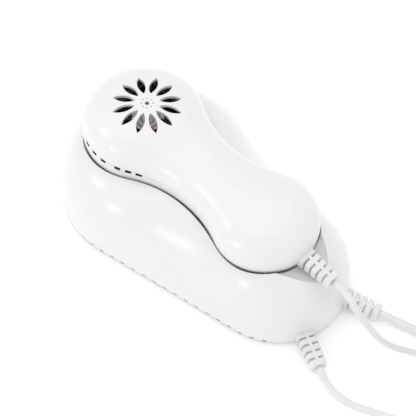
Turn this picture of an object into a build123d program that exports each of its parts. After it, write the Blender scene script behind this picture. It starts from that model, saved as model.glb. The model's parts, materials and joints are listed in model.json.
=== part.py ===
from build123d import *
import math
import os

# Two-unit boot dryer: a slim peanut-shaped dryer that rides in the seat of an egg-shaped base dryer.
# Millimetres, +Z up. The floor is z = 0 and the origin is under the middle of the base's box.
# -X is the wide head end of both units, +X is the tail end, where the cords come out.

# ---- Base unit, outside ----
base_length = 205.0
base_head_radius = 60.5
base_tail_radius = 43.7
base_crown_z = 50.0          # height the rounded top would reach if the seat weren't cut into it
base_belly_z = 7.0           # height of the widest outline
base_edge_z = 1.4            # lower edge of the top shell
base_edge_tuck = 1.2         # how far the lower edge draws in from the belly
base_shoulder = 30.1         # inset of the crown from the belly
base_shoulder_power = 2.29   # squareness of the shoulder's curve
base_waist_radius = 84.0     # radius of the hollow in each side, up at the crown
base_straight_radius = 10000.0  # and down at the belly, where the sides are as good as straight
base_wall = 2.2

# ---- Upper unit, outside ----
upper_head_x = -52.5
upper_head_radius = 37.4
upper_tail_x = 47.5
upper_tail_radius = 32.0
upper_waist_radius = 73.0    # radius of the hollow in each side
upper_rim_z = 54.4           # height of the upper unit's widest outline
upper_head_rise = 23.7       # from the rim to the top
upper_waist_rise = 16.0
upper_tail_rise = 18.6
parting_head_z = 58.2        # the parting line slopes down from over the head's middle ...
parting_tail_z = 50.7        # ... to over the tail's middle
upper_head_power = 2.65      # squareness of the dome over the head ...
upper_tail_power = 2.1       # ... and over the tail
upper_wall = 2.0
tray_depth = 14.0            # from the rim down to the flat underside
tray_round = 12.0            # inset of the flat underside from the outline
tray_power = 2.6

# ---- Seat for the upper unit ----
seat_clearance = 1.2         # all round the upper unit, and under it, where the pads stand
pad_gap = 0.1
pad_radius = 4.0

# ---- Vents ----
vent_offset = 3.4            # from the middle of the head's outline to the flower and the fans
petal_count = 12
petal_inner_radius = 7.4
petal_outer_radius = 21.0
petal_width = 4.7
hub_hole_radius = 1.4
dimple_count = 8
dimple_ring_radius = 3.5
dimple_radius = 0.45
base_slots_per_side = 18
base_slot_pitch = 7.8
base_slot_length = 2.6
base_slot_height = 1.7
base_slot_z = 3.2
base_slot_start = -14.9      # along the side from the head's tangent to the first slot
upper_slot_length = 3.9
upper_slot_height = 2.3
upper_slot_angles = (-107.9, -96.3, -84.7, -69.5, -58.9, -49.0)

# ---- Fans ----
upper_fan_size = 40.0
upper_fan_depth = 10.0
upper_fan_hub_radius = 9.5
base_fan_size = 60.0
base_fan_depth = 15.0
base_fan_hub_radius = 14.0
fan_rim = 1.4                # wall between the fan's bore and its flat sides
fan_hole_inset = 4.2
fan_blades = 7
spider_thickness = 1.5
fan_tip_clearance = 0.7
shaft_radius = 1.0
shaft_clearance = 0.05

# ---- Heaters ----
upper_heater_radius = 18.0
base_heater_radius = 26.0
heater_hub_radius = 8.0
heater_height = 4.0
heater_fins = 24
bracket_thickness = 2.0
cutout_height = 6.2          # top of the thermal cut-out above the bracket's underside
pillar_height = 6.5          # the bracket's corner pillars, which hold the fan above the heater
upper_post_height = 4.8
base_post_height = 3.6
fan_screw_grip = 2.6         # how deep the fan screws go into the housing's posts
upper_lead_spread = 6.5      # how far off the middle the fan's leads rise beside it
base_lead_spread = 16.0

# ---- Cords and strain reliefs ----
link_cord_diameter = 4.0
mains_cord_diameter = 5.2
relief_root_width = 11.4
relief_root_height = 9.0
relief_tip_width = 9.2
relief_tip_height = 7.2
relief_length = 22.5
relief_plug_depth = 5.0      # how deep the relief's straight root goes into the wall
relief_flange = 1.0          # how far the flange inside the wall stands out all round
relief_flange_depth = 2.0
relief_slots = 4
relief_slot_pitch = 4.6
relief_slot_width = 1.5
relief_spine = 1.8
upper_relief_lift = 1.0      # above the parting line at the tail's end
upper_relief_tilt = 6.0
base_relief_z = 6.4          # centre of the two reliefs in the base's wall
base_relief_tilt = 4.0
link_relief_angle = -24.5
link_relief_heading = -25.5
mains_relief_angle = 24.5
mains_relief_heading = 18.0

# ---- Small parts ----
screw_radius = 1.3
screw_head_radius = 2.6
screw_head_height = 1.8
boss_radius = 3.2
board_thickness = 1.6
foot_radius = 6.0
base_tray_thickness = 2.0
fit_clearance = 0.3
lead_radius = 0.8

upper_screw_seat_z = 47.0    # where the case screws' heads stop, in the tray's posts
valley_top_z = 50.0

# ---- Coils, ties and plug ----
link_coil_x = 218.0
link_coil_y = -3.0
link_coil_radius = 22.0
mains_coil_x = 176.0
mains_coil_y = 68.0
mains_coil_radius = 28.5
tie_thickness = 0.8
tie_width = 7.0
plug_width = 24.0
plug_thickness = 15.0
plug_length = 30.0
blade_spacing = 12.7
blade_width = 6.3
blade_thickness = 1.5
blade_length = 17.5

# ---- Worked out from the sizes above ----
base_head_x = -base_length / 2 + base_head_radius
base_tail_x = base_length / 2 - base_tail_radius
base_lean = (base_head_radius - base_tail_radius) / (base_tail_x - base_head_x)
base_straight = math.sqrt(1 - base_lean**2)
vent_x = upper_head_x + vent_offset
underside_z = upper_rim_z - tray_depth
seat_z = underside_z - seat_clearance
tray_floor_z = underside_z + upper_wall
foot_height = base_edge_z + 0.2
base_floor_z = foot_height + base_tray_thickness
waist_span = upper_tail_x - upper_head_x
head_reach = upper_head_radius + upper_waist_radius
tail_reach = upper_tail_radius + upper_waist_radius
waist_x = upper_head_x + (waist_span**2 + head_reach**2 - tail_reach**2) / (2 * waist_span)
waist_y = math.sqrt(head_reach**2 - (waist_x - upper_head_x) ** 2)
waist_at = (waist_x - upper_head_x) / waist_span
link_radius = link_cord_diameter / 2
mains_radius = mains_cord_diameter / 2

upper_screw_places = [
    (upper_head_x - 4, 29.6), (upper_head_x - 4, -29.6), (upper_tail_x + 14, 20.5), (upper_tail_x + 14, -20.5),
]
upper_pad_places = [
    (upper_head_x - 18, 0), (upper_head_x + 20, 0), (upper_tail_x - 16, 0), (upper_tail_x + 12, 0),
]
base_screw_places = [(-89, 14), (-89, -14), (8, 45.5), (8, -45.5), (80, 24), (80, -24)]
base_foot_places = [(-70, 30), (-70, -30), (56, 24), (56, -24)]


# ---- Outlines and rounded bodies ----
def egg_wire(inset, z):
    """The base's outline at height z, moved inwards by inset."""
    head = base_head_radius - inset
    tail = base_tail_radius - inset
    head_side = Vector(base_head_x + head * base_lean, head * base_straight, z)
    tail_side = Vector(base_tail_x + tail * base_lean, tail * base_straight, z)
    head_near = Vector(head_side.X, -head_side.Y, z)
    tail_near = Vector(tail_side.X, -tail_side.Y, z)
    return Wire([
        ThreePointArc(head_near, (base_head_x - head, 0, z), head_side),
        Line(head_side, tail_side),
        ThreePointArc(tail_side, (base_tail_x + tail, 0, z), tail_near),
        Line(tail_near, head_near),
    ])


def waisted_wire(start_x, head, end_x, tail, hollow, z):
    """Two round ends joined by a hollow arc on each side, at height z."""
    span = end_x - start_x
    near_reach = head + hollow
    far_reach = tail + hollow
    middle_x = start_x + (span**2 + near_reach**2 - far_reach**2) / (2 * span)
    middle_y = math.sqrt(near_reach**2 - (middle_x - start_x) ** 2)
    head_x = start_x + head * (middle_x - start_x) / near_reach
    head_y = head * middle_y / near_reach
    tail_x = end_x + tail * (middle_x - end_x) / far_reach
    tail_y = tail * middle_y / far_reach
    lean = math.atan2((head_x + tail_x) / 2 - middle_x, middle_y - (head_y + tail_y) / 2)
    side_x = middle_x + hollow * math.sin(lean)
    side_y = middle_y - hollow * math.cos(lean)
    return Wire([
        ThreePointArc((head_x, -head_y, z), (start_x - head, 0, z), (head_x, head_y, z)),
        ThreePointArc((head_x, head_y, z), (side_x, side_y, z), (tail_x, tail_y, z)),
        ThreePointArc((tail_x, tail_y, z), (end_x + tail, 0, z), (tail_x, -tail_y, z)),
        ThreePointArc((tail_x, -tail_y, z), (side_x, -side_y, z), (head_x, -head_y, z)),
    ])


def peanut_wire(inset, z):
    """The upper unit's outline at height z, moved inwards by inset."""
    head = upper_head_radius - inset
    tail = upper_tail_radius - inset
    return waisted_wire(upper_head_x, head, upper_tail_x, tail, upper_waist_radius + inset, z)


def base_wire(inset, z, wall):
    """The base's outline at height z, whose sides grow hollow towards the crown, moved inwards by inset."""
    part = max(0, (z - base_belly_z) / (base_crown_z - base_belly_z))
    hollow = 1 / (1 / base_straight_radius + part / base_waist_radius) + wall
    return waisted_wire(base_head_x, base_head_radius - inset, base_tail_x, base_tail_radius - inset, hollow, z)


def shoulder(inset, rise, power, last_angle=90, count=9):
    """(inset, rise) pairs along a quarter superellipse, from upright to level."""
    pairs = []
    for step in range(count):
        angle = math.radians(last_angle * step / (count - 1))
        pairs.append((
            inset * (1 - abs(math.cos(angle)) ** (2 / power)),
            rise * math.sin(angle) ** (2 / power),
        ))
    return pairs


def stacked(outline, levels):
    """A smooth solid through the outline's copies at the (inset, z) levels."""
    return Solid.make_loft([outline(inset, z) for inset, z in levels], False)


def upright(outline, inset, low, high):
    """A straight-sided block of the outline between two heights."""
    return extrude(make_face(outline(inset, low)), high - low, dir=(0, 0, 1))


def base_block(wall):
    """The base's rounded outer body, or its hollow when a wall's thickness is given."""
    levels = [(base_edge_tuck + wall, base_edge_z), (0.35 * base_edge_tuck + wall, 3.6)]
    rise = base_crown_z - wall - base_belly_z
    for across, up in shoulder(base_shoulder - wall, rise, base_shoulder_power, 82, 10):
        levels.append((wall + across, base_belly_z + up))
    return Solid.make_loft([base_wire(inset, z, wall) for inset, z in levels], False)


def tray_levels(grow):
    """(inset, z) of the upper unit's lower shell, grown outwards and downwards by grow."""
    levels = []
    for across, down in shoulder(tray_round, tray_depth, tray_power, 90, 9):
        depth = down * (tray_depth + grow) / tray_depth
        levels.append((across - grow, upper_rim_z - depth))
    return levels[::-1]


def parting_z(x):
    """Height of the upper unit's sloping parting line at x."""
    slope = (parting_tail_z - parting_head_z) / waist_span
    return parting_head_z + slope * (x - upper_head_x)


def half_width(x, inset):
    """Half the upper unit's width at x."""
    head = upper_head_radius - inset
    tail = upper_tail_radius - inset
    head_end = upper_head_x + head * (waist_x - upper_head_x) / head_reach
    tail_end = upper_tail_x + tail * (waist_x - upper_tail_x) / tail_reach
    if x < head_end:
        return math.sqrt(head**2 - (x - upper_head_x) ** 2)
    if x > tail_end:
        return math.sqrt(tail**2 - (x - upper_tail_x) ** 2)
    return waist_y - math.sqrt((upper_waist_radius + inset) ** 2 - (x - waist_x) ** 2)


def dome_rise(x, inset):
    """Height of the upper unit's top above its parting plane at x."""
    along = (x - upper_head_x) / waist_span
    if along < waist_at:
        start, end, part = upper_head_rise, upper_waist_rise, along / waist_at
    else:
        start, end, part = upper_waist_rise, upper_tail_rise, (along - waist_at) / (1 - waist_at)
    return start + (end - start) * (1 - math.cos(math.pi * part)) / 2 - inset


def half_arch(x, side, inset):
    """The dome's curve at x, from the rim at one side up to the crown."""
    points = []
    rise = dome_rise(x, inset)
    width = half_width(x, inset)
    part = min(1, max(0, (x - upper_head_x) / waist_span))
    power = upper_head_power + (upper_tail_power - upper_head_power) * part
    for across, up in shoulder(width, rise, power, 90, 9):
        points.append(Vector(x, side * (width - across), upper_rim_z + up))
    return Spline(points, tangents=[(0, 0, 1), (0, -side, 0)])


def arch_wire(x, inset):
    """The dome's whole section at x."""
    right = half_arch(x, -1, inset)
    left = half_arch(x, 1, inset)
    return Wire([right, left, Line(left @ 0, right @ 0)])


def round_end(x, side, inset):
    """Half a turn of the dome's section about the upright axis at x."""
    arch = half_arch(x, side, inset)
    foot = Vector(x, 0, upper_rim_z)
    section = make_face(Wire([arch, Line(arch @ 1, foot), Line(foot, arch @ 0)]))
    return revolve(section, Axis((x, 0, 0), (0, 0, 1)), 180)


def dome_block(inset):
    """The upper unit's body above its parting plane, or its hollow."""
    stations = 11
    wires = []
    for step in range(stations):
        wires.append(arch_wire(upper_head_x + waist_span * step / (stations - 1), inset))
    middle = Solid.make_loft(wires, False)
    return middle + round_end(upper_head_x, 1, inset) + round_end(upper_tail_x, -1, inset)


# ---- Small helpers ----
def disc(radius, x, y, low, high):
    """An upright cylinder."""
    return Pos(x, y, (low + high) / 2) * Cylinder(radius, high - low)


def block(x0, x1, y0, y1, z0, z1):
    """A box between two corners."""
    return Pos((x0 + x1) / 2, (y0 + y1) / 2, (z0 + z1) / 2) * Box(x1 - x0, y1 - y0, z1 - z0)


def group(pieces):
    """Separate solids kept in one node."""
    return Compound(children=[solid for piece in pieces for solid in piece.solids()])


def discs_at(places, low, high, radius):
    """Upright cylinders at the places."""
    return [disc(radius, x, y, low, high) for x, y in places]


def flower(x, low, high):
    """Cutters for the petal vent, its hub hole and the dimples round it."""
    cutters = [disc(hub_hole_radius, x, 0, low, high)]
    middle = (petal_inner_radius + petal_outer_radius) / 2
    for step in range(petal_count):
        side_a = ThreePointArc((petal_inner_radius, 0), (middle, petal_width / 2), (petal_outer_radius, 0))
        side_b = ThreePointArc((petal_outer_radius, 0), (middle, -petal_width / 2), (petal_inner_radius, 0))
        petal = extrude(make_face(Wire([side_a, side_b])), high - low)
        cutters.append(Pos(x, 0, low) * Rot(0, 0, step * 360 / petal_count) * petal)
    for step in range(dimple_count):
        angle = math.radians(step * 360 / dimple_count)
        dimple_x = x + dimple_ring_radius * math.cos(angle)
        cutters.append(disc(dimple_radius, dimple_x, dimple_ring_radius * math.sin(angle), low, high))
    return Compound(children=cutters)


def along_side(distance):
    """Point and outward angle on the base's near side, at a distance past its head tangent."""
    lean_angle = -math.acos(base_lean)
    side_length = (base_tail_x - base_head_x) * base_straight
    if distance < 0:
        centre, radius, angle = base_head_x, base_head_radius, lean_angle + distance / base_head_radius
    elif distance > side_length:
        centre, radius = base_tail_x, base_tail_radius
        angle = lean_angle + (distance - side_length) / base_tail_radius
    else:
        centre = base_head_x + distance / side_length * (base_tail_x - base_head_x)
        radius = base_head_radius + distance / side_length * (base_tail_radius - base_head_radius)
        angle = lean_angle
    return centre + radius * math.cos(angle), radius * math.sin(angle), math.degrees(angle)


def base_slot_cutters():
    """The row of small air slots along both sides of the base."""
    cutters = []
    for step in range(base_slots_per_side):
        x, y, angle = along_side(base_slot_start + step * base_slot_pitch)
        for side in (1, -1):
            slot = Box(4 * base_wall, base_slot_length, base_slot_height)
            cutters.append(Pos(x, side * y, base_slot_z) * Rot(0, 0, side * angle) * slot)
    return Compound(children=cutters)


def upper_slot_cutters():
    """The air slots in the rim of the upper unit's tray, three and three on each side of the head."""
    cutters = []
    for angle in upper_slot_angles:
        for side in (1, -1):
            slot = Pos(upper_head_radius, 0, 0) * Box(5 * upper_wall, upper_slot_length, upper_slot_height)
            x = upper_head_x + upper_head_radius * math.cos(math.radians(angle))
            place = Pos(upper_head_x, 0, parting_z(x) - upper_slot_height / 2)
            cutters.append(place * Rot(0, 0, side * angle) * slot)
    return Compound(children=cutters)


# ---- Strain reliefs ----
def relief_frame(kind):
    """Where a strain relief leaves its wall: +X of the frame is the cord's way out."""
    if kind == "upper":
        place = Pos(upper_tail_x + upper_tail_radius - 1.2, 0, parting_z(upper_tail_x + upper_tail_radius) + upper_relief_lift)
        return place * Rot(0, upper_relief_tilt, 0)
    angle = link_relief_angle if kind == "link" else mains_relief_angle
    heading = link_relief_heading if kind == "link" else mains_relief_heading
    reach = base_tail_radius - 1.2
    x = base_tail_x + reach * math.cos(math.radians(angle))
    y = reach * math.sin(math.radians(angle))
    return Pos(x, y, base_relief_z) * Rot(0, 0, heading) * Rot(0, base_relief_tilt, 0)


def bar(width, height, x0, x1, corner=2.0):
    """A rounded bar along X."""
    section = Plane((x0, 0, 0), x_dir=(0, 1, 0), z_dir=(1, 0, 0)) * RectangleRounded(width, height, corner)
    return extrude(section, x1 - x0, dir=(1, 0, 0))


def relief_root():
    """The straight part of a strain relief, which also makes its hole in the wall."""
    return bar(relief_root_width, relief_root_height, -relief_plug_depth, 0)


def relief_room():
    """Room inside the housing for the relief's root and flange."""
    return bar(
        relief_root_width + 2 * relief_flange + fit_clearance, relief_root_height + 2 * relief_flange + fit_clearance,
        -relief_plug_depth - relief_flange_depth - fit_clearance, relief_length,
    )


def relief_body(cord_radius):
    """Tapered, slotted sleeve with a flange inside the wall."""
    start = Plane((0, 0, 0), x_dir=(0, 1, 0), z_dir=(1, 0, 0))
    end = Plane((relief_length, 0, 0), x_dir=(0, 1, 0), z_dir=(1, 0, 0))
    taper = loft([
        start * RectangleRounded(relief_root_width, relief_root_height, 2.0),
        end * RectangleRounded(relief_tip_width, relief_tip_height, 1.6),
    ])
    flange = bar(
        relief_root_width + 2 * relief_flange, relief_root_height + 2 * relief_flange,
        -relief_plug_depth - relief_flange_depth, -relief_plug_depth,
    )
    sleeve = taper + relief_root() + flange
    keep = bar(relief_spine, relief_root_height + 2, -1, relief_length + 1, 0.4)
    core = Pos(relief_length / 2, 0, 0) * Rot(0, 90, 0) * Cylinder(cord_radius + 0.5, relief_length + 2)
    for step in range(relief_slots):
        middle = 3.6 + step * relief_slot_pitch
        slot = bar(relief_root_width + 4, relief_root_height + 4, middle, middle + relief_slot_width, 1.0)
        sleeve = sleeve - (slot - keep - core)
    return sleeve


def cord_tail(cord_radius, length):
    """The cord's own end inside the housing, along the relief's frame."""
    start = relief_plug_depth + relief_flange_depth
    return Pos(-start - length / 2, 0, 0) * Rot(0, 90, 0) * Cylinder(cord_radius, length)


# ---- Fans and heaters ----
# Each is built round the origin and then placed.
def fan_frame(size, depth, hub):
    """Square fan frame whose spider carries the motor, spider at z = 0."""
    bore = size / 2 - fan_rim
    frame = extrude(RectangleRounded(size, size, fan_hole_inset), depth) - disc(bore, 0, 0, -1, depth + 1)
    frame = frame + disc(hub, 0, 0, 0, spider_thickness)
    for angle in (45, 135, 225, 315):
        arm = Pos((bore + hub) / 2, 0, spider_thickness / 2) * Box(bore - hub + 2, 2.4, spider_thickness)
        frame = frame + Rot(0, 0, angle) * arm
    return frame - group(discs_at(corner_places(size), -1, depth + 1, screw_radius + fit_clearance))


def fan_motor(depth, hub):
    """Stator drum on the spider, with the shaft's bearing bore."""
    drum = disc(hub - 2.4, 0, 0, spider_thickness, depth - 3.4)
    return drum - disc(shaft_radius + shaft_clearance, 0, 0, spider_thickness, depth)


def fan_rotor(size, depth, hub):
    """Cup, shaft and pitched blades."""
    low = spider_thickness + 0.9
    top = depth - 0.8
    cup = disc(hub, 0, 0, low, top) - disc(hub - 1.6, 0, 0, low - 1, top - 1.4)
    rotor = cup + disc(shaft_radius, 0, 0, spider_thickness + 0.7, top)
    tip = size / 2 - fan_rim - fan_tip_clearance
    ring = disc(tip, 0, 0, low, top) - disc(hub - 0.6, 0, 0, low - 1, top + 1)
    for step in range(fan_blades):
        blade = Pos((hub + tip) / 2, 0, 0) * Rot(42, 0, 0) * Box(tip - hub + 3, 1.2, (top - low) * 1.6)
        blade = Pos(0, 0, (low + top) / 2) * Rot(0, 0, step * 360 / fan_blades) * blade
        rotor = rotor + (blade & ring)
    return rotor


def heater_bracket(size, radius):
    """Ring under the heater, on four corner pillars that hold the fan, with a tab for the cut-out."""
    ring = disc(radius + 1.5, 0, 0, 0, bracket_thickness) - disc(radius - 2.5, 0, 0, -1, 5)
    bracket = ring + block(radius, radius + 13, -5, 5, 0, bracket_thickness)
    reach = math.hypot(*corner_places(size)[0])
    for angle in (45, 135, 225, 315):
        arm = Pos((radius + reach) / 2, 0, bracket_thickness / 2) * Box(reach - radius, 3, bracket_thickness)
        bracket = bracket + Rot(0, 0, angle) * arm
    for pillar in discs_at(corner_places(size), 0, pillar_height, boss_radius):
        bracket = bracket + pillar
    return bracket - group(discs_at(corner_places(size), -1, pillar_height + 1, screw_radius + shaft_clearance))


def heater_core(radius):
    """Two rings with radial fins between them."""
    rings = disc(radius, 0, 0, 0, heater_height) - disc(radius - 1.6, 0, 0, -1, heater_height + 1)
    rings = rings + disc(heater_hub_radius, 0, 0, 0, heater_height)
    rings = rings - disc(heater_hub_radius - 1.6, 0, 0, -1, heater_height + 1)
    middle = (radius + heater_hub_radius) / 2 - 0.8
    for step in range(heater_fins):
        fin = Pos(middle, 0, heater_height / 2) * Box(radius - heater_hub_radius - 0.6, 0.7, heater_height)
        rings = rings + Rot(0, 0, (step + 0.5) * 360 / heater_fins) * fin
    return rings


def thermal_cutout(radius):
    """Round thermal cut-out with its collar, on the bracket's tab."""
    middle = radius + 7.5
    can = disc(4.2, middle, 0, bracket_thickness, cutout_height - 1.8)
    return can + disc(3.0, middle, 0, cutout_height - 1.8, cutout_height)


def corner_places(size):
    """The four screw places of a square fan."""
    hole = size / 2 - fan_hole_inset
    return [(sx * hole, sy * hole) for sx in (1, -1) for sy in (1, -1)]


def screw(x, y, seat, length, up, head_height=screw_head_height):
    """A pan-head screw: its head's flat meets the height seat, its shank goes up or down from it."""
    if up:
        head = disc(screw_head_radius, x, y, seat - head_height, seat)
        recess = disc(0.9, x, y, seat - head_height, seat - head_height / 2)
        return head + disc(screw_radius, x, y, seat, seat + length) - recess
    head = disc(screw_head_radius, x, y, seat, seat + head_height)
    recess = disc(0.9, x, y, seat + head_height / 2, seat + head_height)
    return head + disc(screw_radius, x, y, seat - length, seat) - recess


def wire_lead(points):
    """An insulated lead along straight runs joined by small arcs."""
    path = FilletPolyline(*points, radius=1.6)
    section = Plane(origin=path @ 0, z_dir=path % 0) * Circle(lead_radius)
    return sweep(section, path=path)


# ---- Free cords ----
def cord_tube(name, points, radius):
    """A cord's tube: straight runs joined by arcs as large as the runs allow."""
    corners = [Vector(*point) for point in points]
    radii = []
    for before, here, after in zip(corners, corners[1:], corners[2:]):
        first, second = here - before, after - here
        turn = math.radians(first.get_angle(second))
        radii.append(0.45 * min(first.length, second.length) / math.tan(turn / 2))
    path = FilletPolyline(*points, radius=radii)
    section = Plane(origin=path @ 0, z_dir=path % 0) * Circle(radius)
    tube = sweep(section, path=path)
    print(name, "length", round(path.length, 1), "radii", [round(value, 1) for value in radii])
    print(name, "volume ratio", round(tube.volume / (math.pi * radius**2 * path.length), 4))
    return tube


def coil_ring(x, y, middle_radius, width, height):
    """The outer shape of a wound coil lying on its tie."""
    section = Pos(middle_radius, 0, tie_thickness + height / 2) * Rot(90, 0, 0) * RectangleRounded(width, height, 1.5)
    return Pos(x, y, 0) * revolve(section, Axis.Z, 360)


def coil_tie(x, y, middle_radius, width, height, angle):
    """Band round the coil's bundle."""
    outer = Box(width + 2 * tie_thickness, tie_width, height + 2 * tie_thickness)
    place = Pos(x, y, tie_thickness + height / 2) * Rot(0, 0, angle) * Pos(middle_radius, 0, 0)
    return place * outer


# Every finished piece, by name.
parts = {}


# ---- Free cords and what is on them ----
LINK_UPPER_ROUTE = [
    (101.0, 0, 46.9), (111.1, 0, 45.9), (120.5, -2.5, 41.8), (128.7, -2.0, 35.3), (134.9, 0.1, 27.2),
    (139.8, 4.2, 19.1), (144.2, 10.0, 12.1), (149.0, 16.3, 6.8), (155.4, 22.0, 3.6), (164.4, 26.0, 2.2),
    (176.0, 27.6, 2.0), (190.0, 25.2, 2.0), (204.0, 22.2, 2.4), (218.0, 21.0, 2.8),
]
LINK_BASE_ROUTE = [
    (117.75, -27.28, 4.82), (124.9, -30.7, 4.2), (134.5, -32.8, 2.4), (145.5, -31.6, 2.0),
    (156.5, -27.0, 2.0), (167.0, -21.8, 2.0), (179.0, -18.4, 2.0), (192.0, -18.8, 2.6),
    (205.0, -22.4, 4.6), (218.0, -25.0, 6.3),
]
MAINS_ROUTE = [
    (118.86, 24.57, 4.82), (127.4, 27.4, 4.0), (139.0, 31.2, 2.8), (152.0, 34.0, 2.6), (164.0, 35.0, 3.0),
    (176.0, 34.3, 3.4),
]
MAINS_END_ROUTE = [
    (176.0, 34.3, 13.6), (183.7, 34.2, 12.9), (191.4, 34.1, 10.3), (199.1, 34.0, 8.0), (206.8, 34.0, 7.6),
]


def free_cords():
    """Link cord, mains lead, their coils and ties, and the plug."""
    link_upper = cord_tube("link_cord_upper", LINK_UPPER_ROUTE, link_radius)
    link_base = cord_tube("link_cord_base", LINK_BASE_ROUTE, link_radius)
    mains = cord_tube("mains_cord", MAINS_ROUTE, mains_radius)
    mains_end = cord_tube("mains_cord_end", MAINS_END_ROUTE, mains_radius)
    link_width = 4 * link_radius
    link_height = 3.75 * link_radius
    mains_width = 6 * mains_radius
    mains_height = 5.9 * mains_radius
    link_at = (link_coil_x, link_coil_y, link_coil_radius, link_width, link_height)
    mains_at = (mains_coil_x, mains_coil_y, mains_coil_radius, mains_width, mains_height)
    parts["link_cord_upper"] = link_upper
    parts["link_cord_base"] = link_base
    parts["link_coil"] = coil_ring(*link_at) - link_upper - link_base
    parts["link_cord_tie"] = coil_tie(*link_at, 0) - coil_ring(*link_at)
    parts["mains_cord"] = mains
    parts["mains_cord_end"] = mains_end
    parts["mains_coil"] = coil_ring(*mains_at) - mains - mains_end
    parts["mains_cord_tie"] = coil_tie(*mains_at, 60) - coil_ring(*mains_at)
    plug_body, blades = plug(*MAINS_END_ROUTE[-1])
    parts["plug_body"] = plug_body
    parts["plug_blades"] = blades


def plug(x, y, z):
    """Moulded two-blade plug whose cord end is at x, y, z."""
    sections = []
    for along, width, height in ((0, 8.4, 8.4), (0.3, 11, 11), (0.62, 20, 14), (1, plug_width, plug_thickness)):
        plane = Plane((x + along * plug_length, y, z), x_dir=(0, 1, 0), z_dir=(1, 0, 0))
        sections.append(plane * RectangleRounded(width, height, 3.6))
    body = loft(sections)
    front = x + plug_length
    blades = []
    for side in (1, -1):
        middle = y + side * blade_spacing / 2
        half = blade_thickness / 2
        low = z - blade_width / 2
        blades.append(block(front - 6, front + blade_length, middle - half, middle + half, low, low + blade_width))
    blades = group(blades)
    return body - blades, blades


# ---- Inside pieces ----
def fan_set(unit, size, depth, hub, heater_radius, post_top):
    """Heater bracket, heater, cut-out and fan under the vent, spider up."""
    base_place = Pos(vent_x, 0, post_top)
    fan_top = post_top + pillar_height + depth
    fan_place = Pos(vent_x, 0, fan_top) * Rot(180, 0, 0)
    parts[f"{unit}_heater_bracket"] = base_place * heater_bracket(size, heater_radius)
    parts[f"{unit}_heater"] = base_place * Pos(0, 0, bracket_thickness) * heater_core(heater_radius)
    parts[f"{unit}_thermal_cutout"] = base_place * thermal_cutout(heater_radius)
    parts[f"{unit}_fan_frame"] = fan_place * fan_frame(size, depth, hub)
    parts[f"{unit}_fan_motor"] = fan_place * fan_motor(depth, hub)
    parts[f"{unit}_fan_rotor"] = fan_place * fan_rotor(size, depth, hub)
    screws = []
    for x, y in corner_places(size):
        screws.append(screw(vent_x + x, y, fan_top, depth + pillar_height + fan_screw_grip, False))
    parts[f"{unit}_fan_screws"] = group(screws)
    return fan_top


def fan_leads(unit, size, hub, fan_top, spread, start):
    """The fan's red and black leads: from the board, up beside the frame and in along an arm to the hub."""
    beside = vent_x + size / 2 + 2.2
    for side, colour in ((-1, "red"), (1, "black")):
        points = [(x, side * y, z) for x, y, z in start]
        points.append((beside, side * spread, fan_top - 7))
        points.append((beside, side * spread, fan_top + 2.0))
        points.append((beside - 7, side * spread * 0.9, fan_top + lead_radius + 0.05))
        points.append((vent_x + hub * 0.7, side * hub * 0.45, fan_top + lead_radius + 0.05))
        parts[f"{unit}_fan_lead_{colour}"] = wire_lead(points)


def heater_leads(unit, radius, post_top, start):
    """Two leads that come down on the thermal cut-out's collar, one at each terminal."""
    leads = []
    top = post_top + cutout_height
    middle = vent_x + radius + 7.5
    for side in (-1, 1):
        points = [(x, side * y, z) for x, y, z in start]
        points.append((middle, side * 1.6, top + 6))
        points.append((middle, side * 1.6, top + 0.02))
        leads.append(wire_lead(points))
    parts[f"{unit}_heater_leads"] = group(leads)


def board_set(unit, x0, x1, half, floor, standoff, inset=4.5):
    """Circuit board on four standoffs, with its screws; returns the board's top and screw places."""
    low = floor + standoff
    places = [(x, y) for x in (x0 + inset, x1 - inset) for y in (half - inset, inset - half)]
    board = block(x0, x1, -half, half, low, low + board_thickness)
    parts[f"{unit}_board"] = board - group(discs_at(places, low - 1, low + 9, screw_radius + shaft_clearance))
    screws = [screw(x, y, low + board_thickness, board_thickness + standoff + 0.4, False) for x, y in places]
    parts[f"{unit}_board_screws"] = group(screws)
    return low + board_thickness, places


def clamp(frame, along, cord_radius, tail, floor):
    """A cord clamp over the tail at a place along a relief's frame: cradle, bar and screws."""
    middle = (frame * Pos(along, 0, 0)).position
    turn = Pos(middle.X, middle.Y, 0) * Rot(0, 0, frame.orientation.Z)
    half = cord_radius + 5.6
    cradle = turn * block(-2.5, 2.5, -half, half, floor - 0.6, middle.Z) - tail
    strap = turn * block(-2.5, 2.5, -half, half, middle.Z, middle.Z + cord_radius + 1.6) - tail
    reach = cord_radius + 3.0
    screws = []
    for side in (1, -1):
        hole = turn * disc(screw_radius, 0, side * reach, floor + 0.2, middle.Z + cord_radius + 2)
        cradle = cradle - hole
        strap = strap - hole
        screws.append(turn * screw(0, side * reach, middle.Z + cord_radius + 1.6,
                                   middle.Z + cord_radius + 1.2 - floor, False, 1.4))
    return cradle, strap, screws


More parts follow.
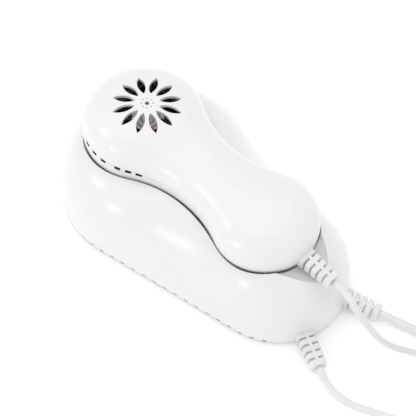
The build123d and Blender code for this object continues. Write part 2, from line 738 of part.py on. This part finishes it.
# ---- The upper unit ----
def build_upper():
    frame = relief_frame("upper")
    relief = frame * relief_body(link_radius)
    parts["upper_strain_relief"] = relief
    outer = dome_block(0) + stacked(peanut_wire, tray_levels(0))
    hollow = dome_block(upper_wall) + stacked(peanut_wire, tray_levels(-upper_wall))
    shell = outer - hollow
    far = 2 * base_length
    above = extrude(make_face(Polyline(
        (-far, parting_z(-far)), (far, parting_z(far)), (far, far), (-far, far), close=True,
    )), far / 2, both=True)
    above = Rot(90, 0, 0) * above
    dome = shell & above
    tray = shell - above

    post_top = tray_floor_z + upper_post_height
    fan_top = fan_set("upper", upper_fan_size, upper_fan_depth, upper_fan_hub_radius, upper_heater_radius, post_top)
    fan_posts = [(vent_x + x, y) for x, y in corner_places(upper_fan_size)]
    board_top, board_places = board_set("upper", 14.0, 56.0, 13.0, tray_floor_z, 2.6, 3.6)
    tray = tray + group(discs_at(fan_posts, underside_z + 0.5, post_top, boss_radius))
    tray = tray - group(discs_at(fan_posts, post_top - fan_screw_grip - 0.2, post_top + 1, screw_radius))
    tray = tray + group(discs_at(board_places, underside_z + 0.5, tray_floor_z + 2.6, 2.4))
    tray = tray - group(discs_at(board_places, tray_floor_z - 0.6, tray_floor_z + 3, screw_radius))

    seat_low = upper_screw_seat_z
    posts = discs_at(upper_screw_places, underside_z - 1, seat_low + 3, boss_radius + 0.4)
    tray = tray + (group(posts) & outer)
    tray = tray - group(discs_at(upper_screw_places, underside_z - 2, seat_low, screw_head_radius + 0.2))
    tray = tray - group(discs_at(upper_screw_places, seat_low - 1, seat_low + 4, screw_radius + 0.2))
    bosses = discs_at(upper_screw_places, seat_low + 3, upper_rim_z + 2 * upper_head_rise, boss_radius)
    dome = dome + (group(bosses) & outer)
    dome = dome - group(discs_at(upper_screw_places, seat_low + 2, seat_low + 10.4, screw_radius))
    parts["upper_case_screws"] = group([screw(x, y, seat_low, 10, True) for x, y in upper_screw_places])

    tail = frame * cord_tail(link_radius, 60)
    block_face = 42.0
    terminal = block(block_face - 9, block_face, -7, 7, board_top, frame.position.Z + 4.6)
    tail = tail - block(-far, block_face, -far, far, -far, far)
    cradle, strap, screws = clamp(frame, -16, link_radius, tail, tray_floor_z)
    parts["upper_terminal_block"] = terminal
    parts["upper_cord_tail"] = tail
    parts["upper_cord_clamp"] = strap
    parts["upper_clamp_screws"] = group(screws)
    tray = tray + cradle

    hole = frame * (bar(relief_root_width, relief_root_height, -2 * relief_plug_depth, relief_length))
    dome = dome - hole - flower(vent_x, upper_rim_z + 4, upper_rim_z + 2 * upper_head_rise)
    slots = upper_slot_cutters()
    parts["upper_top_shell"] = dome
    parts["upper_bottom_shell"] = tray - hole - slots

    pads = discs_at(upper_pad_places, seat_z + pad_gap, underside_z, pad_radius)
    parts["upper_foot_pads"] = group(pads)

    block_back = block_face - 9
    start_z = board_top + 4
    fan_leads("upper", upper_fan_size, upper_fan_hub_radius, fan_top, upper_lead_spread, [
        (block_back, 4, start_z), (block_back - 8, 4, start_z), (-18, 8, start_z + 2),
    ])
    heater_leads("upper", upper_heater_radius, post_top, [
        (block_back, 1.4, start_z - 2), (block_back - 8, 1.4, start_z - 2), (0, 1.6, start_z + 1),
    ])
    parts["upper_fuse"] = Pos(26.5, -9.6, board_top + 2.2) * Rot(0, 90, 0) * Cylinder(2.2, 11)


# ---- The base unit ----
def build_base():
    frames = {"link": relief_frame("link"), "mains": relief_frame("mains")}
    radii = {"link": link_radius, "mains": mains_radius}
    outer = base_block(0)
    seat = stacked(peanut_wire, tray_levels(seat_clearance)) + upright(peanut_wire, -seat_clearance, upper_rim_z, 90)
    grow = seat_clearance + base_wall
    seat_wall = stacked(peanut_wire, tray_levels(grow)) + upright(peanut_wire, -grow, upper_rim_z, 90)
    hollow = base_block(base_wall) - seat_wall - cord_valley(base_wall)
    shell = outer - hollow
    bosses = discs_at(base_screw_places, base_floor_z, base_crown_z, boss_radius)
    shell = shell + (group(bosses) & outer)
    shell = shell - seat - cord_valley(0) - flower(vent_x, seat_z - 2 * base_wall, seat_z + 1)
    shell = shell - base_slot_cutters()
    shell = shell - group(discs_at(base_screw_places, base_floor_z - 1, base_floor_z + 10, screw_radius))

    tray = upright(egg_wire, base_edge_tuck + base_wall + fit_clearance, foot_height, base_floor_z)
    post_top = base_floor_z + base_post_height
    fan_top = fan_set("base", base_fan_size, base_fan_depth, base_fan_hub_radius, base_heater_radius, post_top)
    fan_posts = [(vent_x + x, y) for x, y in corner_places(base_fan_size)]
    board_top, board_places = board_set("base", 2.0, 70.0, 24.0, base_floor_z, 1.6)
    tray = tray + group(discs_at(fan_posts, foot_height + 0.5, post_top, boss_radius))
    tray = tray - group(discs_at(fan_posts, post_top - fan_screw_grip - 0.2, post_top + 1, screw_radius))
    tray = tray + group(discs_at(board_places, foot_height + 0.5, base_floor_z + 1.6, 2.6))
    tray = tray - group(discs_at(board_places, base_floor_z - 0.6, base_floor_z + 3, screw_radius))

    head_depth = 1.2
    tray = tray - group(discs_at(base_screw_places, foot_height - 1, foot_height + head_depth, screw_head_radius + 0.2))
    tray = tray - group(discs_at(base_screw_places, foot_height, base_floor_z + 1, screw_radius + 0.2))
    screws = [screw(x, y, foot_height + head_depth, 9, True, head_depth) for x, y in base_screw_places]
    parts["base_case_screws"] = group(screws)

    terminal = block(60.0, 70.0, -15, 16, board_top, board_top + 8.4)
    parts["base_terminal_block"] = terminal
    straps = []
    strap_screws = []
    for kind, frame in frames.items():
        tail = frame * cord_tail(radii[kind], 60) - block(-base_length, 70.0, -90, 90, -90, 90)
        cradle, strap, screws = clamp(frame, -16, radii[kind], tail, base_floor_z)
        tray = tray + cradle
        straps.append(strap)
        strap_screws.extend(screws)
        parts[f"{kind}_cord_tail"] = tail
        parts[f"{kind}_strain_relief"] = frame * relief_body(radii[kind])
        hole = frame * bar(relief_root_width, relief_root_height, -2 * relief_plug_depth, relief_length)
        shell = shell - hole
        tray = tray - frame * relief_room()
    parts["base_cord_clamps"] = group(straps)
    parts["base_clamp_screws"] = group(strap_screws)
    parts["base_top_shell"] = shell
    parts["base_bottom_plate"] = tray
    parts["base_feet"] = group(discs_at(base_foot_places, 0, foot_height, foot_radius))

    parts["power_transformer"] = block(11, 33, -16, 4, board_top, board_top + 17)
    parts["power_capacitor"] = disc(6, 44, -12, board_top, board_top + 15)
    parts["power_relay"] = block(38, 54, 4, 16, board_top, board_top + 11)
    fan_leads("base", base_fan_size, base_fan_hub_radius, fan_top, base_lead_spread, [
        (5, 12, board_top), (5, 12, board_top + 7), (-8, 13, board_top + 12),
    ])
    heater_leads("base", base_heater_radius, post_top, [
        (5, 2.5, board_top), (5, 2.5, board_top + 9), (-6, 2.0, board_top + 14),
    ])


def cord_valley(grow):
    """The rounded valley behind the seat, where the upper unit's strain relief hangs."""
    sections = []
    for x, half, depth in ((58, 25, 7.5), (80, 17, 8), (96, 10, 9.5), (112, 7, 11)):
        plane = Plane((x, 0, valley_top_z), x_dir=(0, 1, 0), z_dir=(1, 0, 0))
        sections.append(plane * Ellipse(half + grow, depth + grow))
    return loft(sections)


def main():
    build_upper()
    build_base()
    free_cords()
    os.makedirs("parts", exist_ok=True)
    for name, shape in parts.items():
        export_step(shape, f"parts/{name}.step")
        print(name, len(shape.solids()), round(sum(s.volume for s in shape.solids())), shape.is_valid)


main()
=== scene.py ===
"""Looks of the two-unit boot dryer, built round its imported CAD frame.

Metres, +Z up. The origin is on the floor under the base, and +X points to the tail, where the
cords leave. The cords' routes and coils, the parting line and the heights of the air slots repeat
those of the CAD model; every other place on the object comes from the frame.
"""
import json
import math
import bpy
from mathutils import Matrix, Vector


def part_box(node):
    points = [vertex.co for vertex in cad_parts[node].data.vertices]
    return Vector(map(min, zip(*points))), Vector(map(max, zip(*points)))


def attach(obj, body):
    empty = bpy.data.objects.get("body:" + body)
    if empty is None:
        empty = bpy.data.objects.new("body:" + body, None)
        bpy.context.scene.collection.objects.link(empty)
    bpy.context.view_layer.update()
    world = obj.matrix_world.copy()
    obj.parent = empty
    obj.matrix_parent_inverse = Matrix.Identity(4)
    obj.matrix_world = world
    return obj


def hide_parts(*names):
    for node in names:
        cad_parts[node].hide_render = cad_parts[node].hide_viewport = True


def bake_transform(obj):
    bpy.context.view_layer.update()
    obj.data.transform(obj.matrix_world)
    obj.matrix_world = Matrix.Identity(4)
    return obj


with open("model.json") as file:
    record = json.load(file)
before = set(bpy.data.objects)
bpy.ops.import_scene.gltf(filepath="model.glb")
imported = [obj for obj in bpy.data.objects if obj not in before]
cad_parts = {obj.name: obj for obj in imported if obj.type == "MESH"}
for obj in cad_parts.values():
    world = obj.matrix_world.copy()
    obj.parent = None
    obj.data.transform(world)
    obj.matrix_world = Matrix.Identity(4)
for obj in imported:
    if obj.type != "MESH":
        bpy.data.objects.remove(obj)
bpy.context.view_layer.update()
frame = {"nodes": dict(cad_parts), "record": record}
nodes = frame["nodes"]

# ---- Camera ----
CAMERA_AZIMUTH = 44.5
CAMERA_ELEVATION = 54.6
CAMERA_DISTANCE = 0.948
CAMERA_TARGET = Vector((0.0033, -0.0021, 0.025))
CAMERA_LENS = 136.2

# ---- Cords ----
LINK_DIAMETER = 0.0040
LINK_UPPER_ROUTE = [
    (0.1010, 0, 0.0469), (0.1111, 0, 0.0459), (0.1205, -0.0025, 0.0418), (0.1287, -0.0020, 0.0353),
    (0.1349, 0.0001, 0.0272), (0.1398, 0.0042, 0.0191), (0.1442, 0.0100, 0.0121),
    (0.1490, 0.0163, 0.0068), (0.1554, 0.0220, 0.0036), (0.1644, 0.0260, 0.0022),
    (0.1760, 0.0276, 0.0020), (0.1900, 0.0252, 0.0020), (0.2040, 0.0222, 0.0024),
]
LINK_BASE_ROUTE = [
    (0.11775, -0.02728, 0.00482), (0.1249, -0.0307, 0.0042), (0.1345, -0.0328, 0.0024),
    (0.1455, -0.0316, 0.0020), (0.1565, -0.0270, 0.0020), (0.1670, -0.0218, 0.0020),
    (0.1790, -0.0184, 0.0020), (0.1920, -0.0188, 0.0026), (0.2050, -0.0224, 0.0046),
]
LINK_COIL = (0.218, -0.003)  # its middle, x and y

MAINS_DIAMETER = 0.0052
MAINS_ROUTE = [
    (0.11886, 0.02457, 0.00482), (0.1274, 0.0274, 0.0040), (0.1390, 0.0312, 0.0028),
    (0.1520, 0.0340, 0.0026), (0.1640, 0.0350, 0.0030),
]
MAINS_END_ROUTE = [
    (0.1837, 0.0342, 0.0129), (0.1914, 0.0341, 0.0103), (0.1991, 0.0340, 0.0080), (0.2068, 0.0340, 0.0076),
]
MAINS_COIL = (0.176, 0.068)  # its middle, x and y
MAINS_COIL_RADIUS = 0.0285   # of the middle layer
MAINS_COIL_FOOT = 0.0034     # height of the lowest layer's middle
POINTS_PER_TURN = 16

# ---- Plastic ----
WHITE = (0.805, 0.795, 0.80)
FAN_BLACK = (0.02, 0.02, 0.022)
FAN_LABEL_RADIUS = 0.0095
FAN_LABEL_PITCH = 0.0032          # between the label's printed rings
# painted shade: the dark colour laid on the air slots' floors, where the slots are in shadow
SLOT_SHADE = (0.06, 0.05, 0.045)
BASE_LEDGE = (0.0015, 0.0042)     # heights between which the base's air slots lie
TRAY_LEDGE = (0.0500, 0.0600)     # and those of the upper unit's tray
PARTING_HEAD = (-0.0525, 0.0582)  # (x, height) of the parting line over the head ...
PARTING_TAIL = (0.0475, 0.0507)   # ... and over the tail
# the parting line is painted shade: a dark line standing in for the shadow in the seam between the shells
PARTING_HALF_WIDTH = 0.00014
PARTING_SHADE = (0.45, 0.44, 0.44)


def look_from(azimuth, elevation):
    """Unit vector from the object to a viewer."""
    a, e = math.radians(azimuth), math.radians(elevation)
    return Vector((math.sin(a) * math.cos(e), -math.cos(a) * math.cos(e), math.sin(e)))


def make_camera():
    data = bpy.data.cameras.new("camera")
    data.lens = CAMERA_LENS
    data.sensor_width = 36
    camera = bpy.data.objects.new("camera", data)
    back = look_from(CAMERA_AZIMUTH, CAMERA_ELEVATION)
    camera.location = CAMERA_TARGET + back * CAMERA_DISTANCE
    camera.rotation_euler = (-back).to_track_quat("-Z", "Y").to_euler()
    bpy.context.collection.objects.link(camera)
    bpy.context.scene.camera = camera


# ---- Materials ----
class Shader:
    """A principled material whose patterns are laid out in the object's own space."""

    def __init__(self, name, colour, roughness, metallic=0.0):
        self.material = bpy.data.materials.new(name)
        self.material.use_nodes = True
        self.tree = self.material.node_tree
        self.surface = self.tree.nodes["Principled BSDF"]
        self.set("Base Color", (*colour, 1))
        self.set("Roughness", roughness)
        self.set("Metallic", metallic)
        self.place = self.node("ShaderNodeTexCoord").outputs["Object"]

    def node(self, kind, **settings):
        made = self.tree.nodes.new(kind)
        for key, value in settings.items():
            setattr(made, key, value)
        return made

    def link(self, source, target):
        self.tree.links.new(source, target)

    def set(self, socket, value):
        self.surface.inputs[socket].default_value = value

    def noise(self, scale, detail=3.0, stretch=(1, 1, 1)):
        """Soft random pattern with about `scale` features per metre."""
        mapping = self.node("ShaderNodeMapping")
        mapping.inputs["Scale"].default_value = stretch
        noise = self.node("ShaderNodeTexNoise")
        noise.inputs["Scale"].default_value = scale
        noise.inputs["Detail"].default_value = detail
        self.link(self.place, mapping.inputs["Vector"])
        self.link(mapping.outputs["Vector"], noise.inputs["Vector"])
        return noise.outputs["Fac"]

    def span(self, value, low, high, to_low, to_high):
        """Maps a value from one range to another."""
        made = self.node("ShaderNodeMapRange")
        for key, number in (("From Min", low), ("From Max", high), ("To Min", to_low), ("To Max", to_high)):
            made.inputs[key].default_value = number
        self.link(value, made.inputs["Value"])
        return made.outputs["Result"]

    def mix(self, amount, first, second):
        """Colour between two colours, each a tuple or a socket."""
        made = self.node("ShaderNodeMix", data_type="RGBA")
        self.link(amount, made.inputs["Factor"])
        for key, colour in ((6, first), (7, second)):
            if isinstance(colour, tuple):
                made.inputs[key].default_value = (*colour, 1)
            else:
                self.link(colour, made.inputs[key])
        return made.outputs[2]

    def maths(self, operation, first, second=None):
        """One arithmetic step on sockets or numbers."""
        made = self.node("ShaderNodeMath", operation=operation)
        for key, value in enumerate((first, second)):
            if value is None:
                continue
            if isinstance(value, (int, float)):
                made.inputs[key].default_value = value
            else:
                self.link(value, made.inputs[key])
        return made.outputs[0]

    def axes(self, vector):
        """The X, Y and Z sockets of a vector."""
        made = self.node("ShaderNodeSeparateXYZ")
        self.link(vector, made.inputs[0])
        return made.outputs

    def slot_floor(self, low, high):
        """1 on faces that look up between two heights, 0 elsewhere."""
        height = self.axes(self.place)[2]
        upward = self.axes(self.node("ShaderNodeNewGeometry").outputs["True Normal"])[2]
        level = self.maths("GREATER_THAN", upward, 0.6)
        above = self.maths("GREATER_THAN", height, low)
        below = self.maths("LESS_THAN", height, high)
        return self.maths("MULTIPLY", level, self.maths("MULTIPLY", above, below))

    def near_parting(self, half_width):
        """1 within half a width of the upper unit's sloping parting plane, 0 elsewhere."""
        place = self.axes(self.place)
        slope = (PARTING_TAIL[1] - PARTING_HEAD[1]) / (PARTING_TAIL[0] - PARTING_HEAD[0])
        level = self.maths("SUBTRACT", place[2], self.maths("MULTIPLY", place[0], slope))
        offset = self.maths("SUBTRACT", level, PARTING_HEAD[1] - slope * PARTING_HEAD[0])
        return self.maths("LESS_THAN", self.maths("ABSOLUTE", offset), half_width)

    def rough(self, value):
        self.link(value, self.surface.inputs["Roughness"])

    def paint(self, colour):
        self.link(colour, self.surface.inputs["Base Color"])

    def bump(self, height, distance, strength=1.0):
        made = self.node("ShaderNodeBump")
        made.inputs["Distance"].default_value = distance
        made.inputs["Strength"].default_value = strength
        self.link(height, made.inputs["Height"])
        self.link(made.outputs["Normal"], self.surface.inputs["Normal"])


def gloss_shell(name, colour, ledge=None, parted=False):
    """Injection-moulded glossy ABS: slight flow mottling, handling haze and orange peel.

    Faces that look up between the two heights of `ledge` are the floors of the air slots, painted dark as
    painted shade inside the slots.
    A parted shell has a fine line of painted shade where the upper unit's two shells meet, standing in for
    the shadow in the gap between them.
    """
    shader = Shader(name, colour, 0.2)
    flow = shader.noise(22, 2.0)
    deeper = tuple(part * 0.975 for part in colour)
    tone = shader.mix(shader.span(flow, 0.3, 0.7, 0, 1), colour, deeper)
    if ledge:
        # painted shade on the floors of the air slots
        tone = shader.mix(shader.slot_floor(*ledge), tone, SLOT_SHADE)
    if parted:
        # painted shade along the seam where the upper unit's two shells meet
        tone = shader.mix(shader.near_parting(PARTING_HALF_WIDTH), tone, PARTING_SHADE)
    shader.paint(tone)
    haze = shader.noise(70, 5.0)
    shader.rough(shader.span(haze, 0.3, 0.75, 0.18, 0.28))
    shader.bump(shader.noise(420, 2.0), 0.00004, 0.35)
    shader.set("IOR", 1.53)
    shader.set("Coat Weight", 0.25)
    shader.set("Coat Roughness", 0.1)
    return shader.material


def matte_plastic(name, colour, roughness=0.5, grain=1800, depth=0.00004):
    """Spark-eroded plastic: fine even grain and a little uneven tone."""
    shader = Shader(name, colour, roughness)
    tone = shader.noise(60, 3.0)
    darker = tuple(part * 0.85 for part in colour)
    shader.paint(shader.mix(shader.span(tone, 0.3, 0.7, 0, 1), colour, darker))
    grained = shader.noise(grain, 2.0)
    shader.rough(shader.span(grained, 0.3, 0.7, roughness - 0.08, roughness + 0.08))
    shader.bump(grained, depth, 0.5)
    return shader.material


def soft_rubber(name, colour, roughness=0.42):
    """Moulded PVC of cords and strain reliefs: satin skin, dust haze, faint ripples."""
    shader = Shader(name, colour, roughness)
    dust = shader.noise(140, 4.0)
    dusty = tuple(part * 0.94 for part in colour)
    shader.paint(shader.mix(shader.span(dust, 0.35, 0.7, 0, 1), colour, dusty))
    shader.rough(shader.span(dust, 0.3, 0.7, roughness - 0.07, roughness + 0.1))
    shader.bump(shader.noise(900, 2.0), 0.00005, 0.4)
    shader.set("Sheen Weight", 0.08)
    return shader.material


def drawn_metal(name, colour, roughness=0.32, stretch=(1, 1, 12)):
    """Metal with fine drawn or turned lines."""
    shader = Shader(name, colour, roughness, 1.0)
    lines = shader.noise(700, 4.0, stretch)
    dull = tuple(part * 0.8 for part in colour)
    shader.paint(shader.mix(shader.span(lines, 0.3, 0.7, 0, 1), colour, dull))
    shader.rough(shader.span(lines, 0.3, 0.7, roughness - 0.1, roughness + 0.12))
    shader.bump(lines, 0.00003, 0.5)
    return shader.material


def circuit_board(name):
    """Green solder mask with copper tracks under it."""
    shader = Shader(name, (0.02, 0.16, 0.07), 0.35)
    brick = shader.node("ShaderNodeTexBrick", offset=0.37, squash=1.6, squash_frequency=3)
    brick.inputs["Scale"].default_value = 260
    brick.inputs["Mortar Size"].default_value = 0.09
    brick.inputs["Mortar Smooth"].default_value = 0.2
    shader.link(shader.place, brick.inputs["Vector"])
    shader.paint(shader.mix(brick.outputs["Fac"], (0.02, 0.15, 0.065), (0.05, 0.26, 0.10)))
    shader.rough(shader.span(shader.noise(300), 0.3, 0.7, 0.28, 0.42))
    shader.bump(brick.outputs["Fac"], 0.00005, 0.6)
    return shader.material


def fan_hub_label(name, centre_x, radius, top):
    """Black fan plastic, with a pale printed disc and rings on the hub's top face."""
    shader = Shader(name, FAN_BLACK, 0.45)
    place = shader.axes(shader.place)
    across = shader.maths("SUBTRACT", place[0], centre_x)
    squares = shader.maths("ADD", shader.maths("POWER", across, 2), shader.maths("POWER", place[1], 2))
    distance = shader.maths("SQRT", squares)
    on_disc = shader.maths("LESS_THAN", distance, radius)
    on_top = shader.maths("GREATER_THAN", place[2], top - 0.0003)
    label = shader.maths("MULTIPLY", on_disc, on_top)
    rings = shader.maths("SINE", shader.maths("MULTIPLY", distance, 2 * math.pi / FAN_LABEL_PITCH))
    ringed = shader.maths("GREATER_THAN", rings, 0.72)
    pale = shader.mix(ringed, (0.90, 0.87, 0.87), (0.30, 0.28, 0.28))
    shader.paint(shader.mix(label, FAN_BLACK, pale))
    grained = shader.noise(1500, 2.0)
    shader.rough(shader.span(grained, 0.3, 0.7, 0.38, 0.55))
    shader.bump(grained, 0.00003, 0.4)
    return shader.material


def clear_glass(name):
    """The fuse's glass tube, with faint draw lines."""
    shader = Shader(name, (0.86, 0.89, 0.9), 0.06)
    lines = shader.noise(500, 3.0, (0.1, 1, 1))
    shader.rough(shader.span(lines, 0.3, 0.7, 0.03, 0.12))
    shader.paint(shader.mix(lines, (0.86, 0.89, 0.9), (0.74, 0.78, 0.8)))
    shader.set("Transmission Weight", 0.85)
    shader.set("IOR", 1.5)
    return shader.material


def make_materials():
    """One material for each slot of the record, and one for each node that needs its own."""
    low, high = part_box("upper_fan_frame")
    fan_x = (low[0] + high[0]) / 2
    return {
        "shell": gloss_shell("gloss_white_abs", WHITE),
        "base_top_shell": gloss_shell("base_shell_abs", WHITE, BASE_LEDGE),
        "upper_bottom_shell": gloss_shell("upper_tray_abs", WHITE, TRAY_LEDGE, parted=True),
        "upper_top_shell": gloss_shell("upper_dome_abs", WHITE, parted=True),
        "upper_fan_frame": fan_hub_label("fan_with_label", fan_x, FAN_LABEL_RADIUS, high[2]),
        "cord": soft_rubber("white_cord_pvc", (0.78, 0.77, 0.78)),
        "relief": soft_rubber("white_relief_pvc", (0.78, 0.77, 0.78), 0.36),
        "pads": soft_rubber("grey_pad_rubber", (0.5, 0.5, 0.51), 0.7),
        "fan": matte_plastic("black_fan_plastic", FAN_BLACK),
        "motor": drawn_metal("motor_can", (0.62, 0.62, 0.63)),
        "heater": drawn_metal("heater_fins", (0.6, 0.6, 0.61), 0.4),
        "bracket": matte_plastic("heat_proof_plastic", (0.6, 0.57, 0.5), 0.6),
        "cutout": drawn_metal("cutout_can", (0.55, 0.55, 0.56), 0.3),
        "screws": drawn_metal("zinc_screws", (0.6, 0.6, 0.62), 0.28),
        "board": circuit_board("solder_mask"),
        "component": matte_plastic("component_black", (0.03, 0.03, 0.035), 0.4),
        "terminal": matte_plastic("terminal_blue", (0.06, 0.14, 0.34), 0.42),
        "fuse": clear_glass("fuse_glass"),
        "lead_red": soft_rubber("red_lead", (0.5, 0.012, 0.012)),
        "lead_black": soft_rubber("black_lead", (0.012, 0.012, 0.012)),
        "lead_white": soft_rubber("white_lead", (0.62, 0.61, 0.58)),
        "tie": matte_plastic("tie_nylon", (0.05, 0.05, 0.055), 0.55, 2600),
        "blades": drawn_metal("plug_brass", (0.72, 0.56, 0.26), 0.25),
    }


def dress_nodes(materials):
    """Gives every CAD node its own material, if it has one, or the material of its slot."""
    slots = {part["node"]: part["material_slot"] for part in frame["record"]["subparts"]}
    for name, thing in nodes.items():
        thing.data.materials.clear()
        thing.data.materials.append(materials.get(name, materials[slots[name]]))


# ---- Cords ----
def between(table, turn):
    """Value at a turn from a table of (turn, value) pairs, eased between them."""
    for (start, first), (end, second) in zip(table, table[1:]):
        if turn <= end:
            part = (turn - start) / (end - start)
            part = part * part * (3 - 2 * part)
            return first + (second - first) * part
    return table[-1][1]


def wound(centre, start_angle, direction, turns, radii, heights):
    """Points of a coil: radius and height follow their tables of (turn, value)."""
    points = []
    steps = round(turns * POINTS_PER_TURN)
    outside = 1 / math.cos(math.pi / POINTS_PER_TURN)
    for step in range(steps + 1):
        turn = step / POINTS_PER_TURN
        angle = start_angle + direction * 2 * math.pi * turn
        radius = between(radii, turn) * outside
        x = centre[0] + radius * math.cos(angle)
        y = centre[1] + radius * math.sin(angle)
        points.append((x, y, between(heights, turn)))
    return points


def link_turns():
    """Two and a half turns: outer and inner on the floor, the last half on top of both."""
    radii = [(0, 0.024), (0.78, 0.024), (1.0, 0.020), (1.62, 0.020), (1.78, 0.022), (2.5, 0.022)]
    heights = [(0, 0.0028), (1.5, 0.0028), (1.7, 0.0066), (2.3, 0.0068), (2.5, 0.0063)]
    return wound(LINK_COIL, math.pi / 2, -1, 2.5, radii, heights)


def mains_turns():
    """Eight turns in three layers, wound inwards, outwards and inwards again to the plug's end."""
    pitch = MAINS_DIAMETER
    low = MAINS_COIL_FOOT
    middle, high = low + 0.98 * pitch, low + 1.96 * pitch
    centre = MAINS_COIL_RADIUS
    inner, outer = centre - pitch, centre + pitch
    radii = [
        (0, outer), (0.85, outer), (1.0, centre), (1.85, centre), (2.0, inner), (3.0, inner),
        (3.15, centre), (4.0, centre), (4.15, outer), (5.1, outer), (5.3, centre), (6.0, centre),
        (6.2, inner), (6.8, inner), (7.0, centre), (7.6, centre), (7.8, outer), (8, outer),
    ]
    heights = [(0, low), (2.75, low), (2.95, middle), (4.9, middle), (5.1, high), (8, high)]
    return wound(MAINS_COIL, -math.pi / 2, 1, 8, radii, heights)


def spline_curve(name, points):
    """A curve of one open NURBS spline with the points as its control points."""
    data = bpy.data.curves.new(name, "CURVE")
    data.dimensions = "3D"
    spline = data.splines.new("NURBS")
    spline.points.add(len(points) - 1)
    for point, place in zip(spline.points, points):
        point.co = (*place, 1)
    spline.order_u = 3
    spline.use_endpoint_u = True
    spline.resolution_u = 6
    curve = bpy.data.objects.new(name, data)
    bpy.context.collection.objects.link(curve)
    return curve


def spline_line(name, points):
    """Points read from the route's own spline."""
    curve = spline_curve(name, points)
    bpy.context.view_layer.update()
    graph = bpy.context.evaluated_depsgraph_get()
    mesh = bpy.data.meshes.new_from_object(curve.evaluated_get(graph))
    line = [Vector(vertex.co) for vertex in mesh.vertices]
    bpy.data.objects.remove(curve)
    bpy.data.meshes.remove(mesh)
    return line


def tube(name, line, radius, sides=20):
    """A closed round mesh tube along a line, its rings carried without twist."""
    vertices, faces = [], []
    side = Vector((0, 0, 1))
    for index, place in enumerate(line):
        before = line[max(index - 1, 0)]
        after = line[min(index + 1, len(line) - 1)]
        along = (after - before).normalized()
        side = (side - along * side.dot(along)).normalized()
        other = along.cross(side)
        for step in range(sides):
            angle = 2 * math.pi * step / sides
            vertices.append(place + radius * (math.cos(angle) * side + math.sin(angle) * other))
    for ring in range(len(line) - 1):
        for step in range(sides):
            a = ring * sides + step
            b = ring * sides + (step + 1) % sides
            faces.append((a, b, b + sides, a + sides))
    faces.append(tuple(reversed(range(sides))))
    faces.append(tuple((len(line) - 1) * sides + step for step in range(sides)))
    mesh = bpy.data.meshes.new(name)
    mesh.from_pydata(vertices, [], faces)
    mesh.shade_smooth()
    made = bpy.data.objects.new(name, mesh)
    bpy.context.collection.objects.link(made)
    return made


def make_link_cord(material):
    """The cord between the two units, with its spare length in a small coil."""
    route = LINK_UPPER_ROUTE + link_turns() + LINK_BASE_ROUTE[::-1]
    line = spline_line("link_route", route)
    cord = tube("link_cord", line, LINK_DIAMETER / 2)
    cord.data.materials.append(material)
    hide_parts("link_cord_upper", "link_cord_base", "link_coil")
    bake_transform(cord)


def make_mains_cord(material):
    """The mains lead, wound into a coil that ends in the plug."""
    route = MAINS_ROUTE + mains_turns() + MAINS_END_ROUTE
    cord = spline_curve("mains_lead", route)
    cord.data.bevel_depth = MAINS_DIAMETER / 2
    cord.data.bevel_resolution = 6
    cord.data.use_fill_caps = True
    cord.data.materials.append(material)
    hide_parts("mains_cord", "mains_cord_end", "mains_coil")
    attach(cord, "base")


# ---- Studio ----
LIGHT_AIM = Vector((0, 0, 0.03))


def area_light(name, place, size, power):
    """A softbox in watts, turned to the middle of the object."""
    data = bpy.data.lights.new(name, "AREA")
    data.shape = "RECTANGLE"
    data.size, data.size_y = size
    data.energy = power
    light = bpy.data.objects.new(name, data)
    light.location = place
    direction = LIGHT_AIM - Vector(place)
    light.rotation_euler = direction.to_track_quat("-Z", "Y").to_euler()
    bpy.context.collection.objects.link(light)


def make_studio():
    world = bpy.data.worlds.new("studio")
    world.use_nodes = True
    background = world.node_tree.nodes["Background"]
    background.inputs["Color"].default_value = (1, 0.985, 0.99, 1)
    background.inputs["Strength"].default_value = 0.95
    bpy.context.scene.world = world
    bpy.context.scene.view_settings.view_transform = "Standard"
    area_light("top_softbox", (-0.1, 0.1, 0.9), (1.1, 0.9), 1.5)
    area_light("left_softbox", (-0.52, -0.52, 0.6), (0.24, 0.3), 0.4)
    area_light("front_softbox", (-0.11, -0.9, 0.32), (0.24, 0.26), 0.45)


def make_floor():
    bpy.ops.mesh.primitive_plane_add(size=8, location=(0, 0, 0))
    floor = bpy.context.active_object
    floor.name = "floor"
    shader = Shader("floor_paper", (0.93, 0.93, 0.94), 0.8)
    grain = shader.noise(300, 3.0)
    shader.rough(shader.span(grain, 0.3, 0.7, 0.75, 0.9))
    shader.set("Emission Color", (0.97, 0.97, 1, 1))
    shader.set("Emission Strength", 0.14)
    floor.data.materials.append(shader.material)


make_camera()
materials = make_materials()
dress_nodes(materials)
make_link_cord(materials["cord"])
make_mains_cord(materials["cord"])
make_studio()
make_floor()
